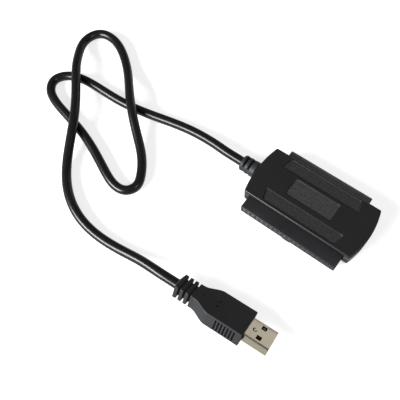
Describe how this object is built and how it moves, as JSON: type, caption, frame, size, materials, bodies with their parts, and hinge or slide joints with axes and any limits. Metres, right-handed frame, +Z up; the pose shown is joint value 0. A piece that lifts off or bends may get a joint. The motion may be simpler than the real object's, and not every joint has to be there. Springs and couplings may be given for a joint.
{
  "type": "usb to sata and ide drive adapter",
  "caption": "Flat moulded case with drive sockets on both long sides, a serial drive header in one bowed end, and a short cord with a USB plug at the other.",
  "frame": {"origin": "middle of the case's underside", "axes": "+X towards the end with the serial header, away from the cord; -Y towards the 40-way socket; +Z up"},
  "size_m": [0.1922, 0.1021, 0.0153],
  "materials": {
    "case_black": "fine satin moulding, spark-eroded in the recesses",
    "socket_black": "plain satin moulding",
    "cord_black": "smooth glossy jacket",
    "plug_black": "smooth soft moulding",
    "board_green": "solder mask",
    "chip_black": "matt moulding",
    "resistor_black": "glazed ceramic",
    "ceramic_tan": "fired ceramic",
    "tantalum_yellow": "matt moulding",
    "crystal_steel": "plain can",
    "contact_gold": "gold plate",
    "shell_nickel": "nickel plate",
    "insert_black": "plain moulding",
    "wire_red": "smooth insulation",
    "wire_white": "smooth insulation",
    "wire_green": "smooth insulation",
    "wire_black": "smooth insulation"
  },
  "bodies": {
    "root": {"top_shell": "case_black", "bottom_shell": "case_black", "circuit_board": "board_green", "ide_socket_40": "socket_black", "ide_socket_44": "socket_black", "sata_header": "socket_black", "sata_contact_1": "contact_gold", "sata_contact_2": "contact_gold", "sata_contact_3": "contact_gold", "sata_contact_4": "contact_gold", "sata_contact_5": "contact_gold", "sata_contact_6": "contact_gold", "sata_contact_7": "contact_gold", "controller_chip": "chip_black", "memory_chip": "chip_black", "voltage_regulator": "chip_black", "crystal": "crystal_steel", "tantalum_capacitor_1": "tantalum_yellow", "tantalum_capacitor_2": "tantalum_yellow", "capacitor_1": "ceramic_tan", "capacitor_2": "ceramic_tan", "capacitor_3": "ceramic_tan", "capacitor_4": "ceramic_tan", "capacitor_5": "ceramic_tan", "capacitor_6": "ceramic_tan", "resistor_1": "resistor_black", "resistor_2": "resistor_black", "resistor_3": "resistor_black", "resistor_4": "resistor_black", "resistor_5": "resistor_black", "resistor_6": "resistor_black", "wire_red": "wire_red", "wire_white": "wire_white", "wire_green": "wire_green", "wire_black": "wire_black", "cord_boot": "cord_black", "usb_cord": "cord_black", "plug_overmold": "plug_black", "plug_shell": "shell_nickel", "plug_insert": "insert_black", "plug_contact_1": "contact_gold", "plug_contact_2": "contact_gold", "plug_contact_3": "contact_gold", "plug_contact_4": "contact_gold"}
  },
  "joints": []
}
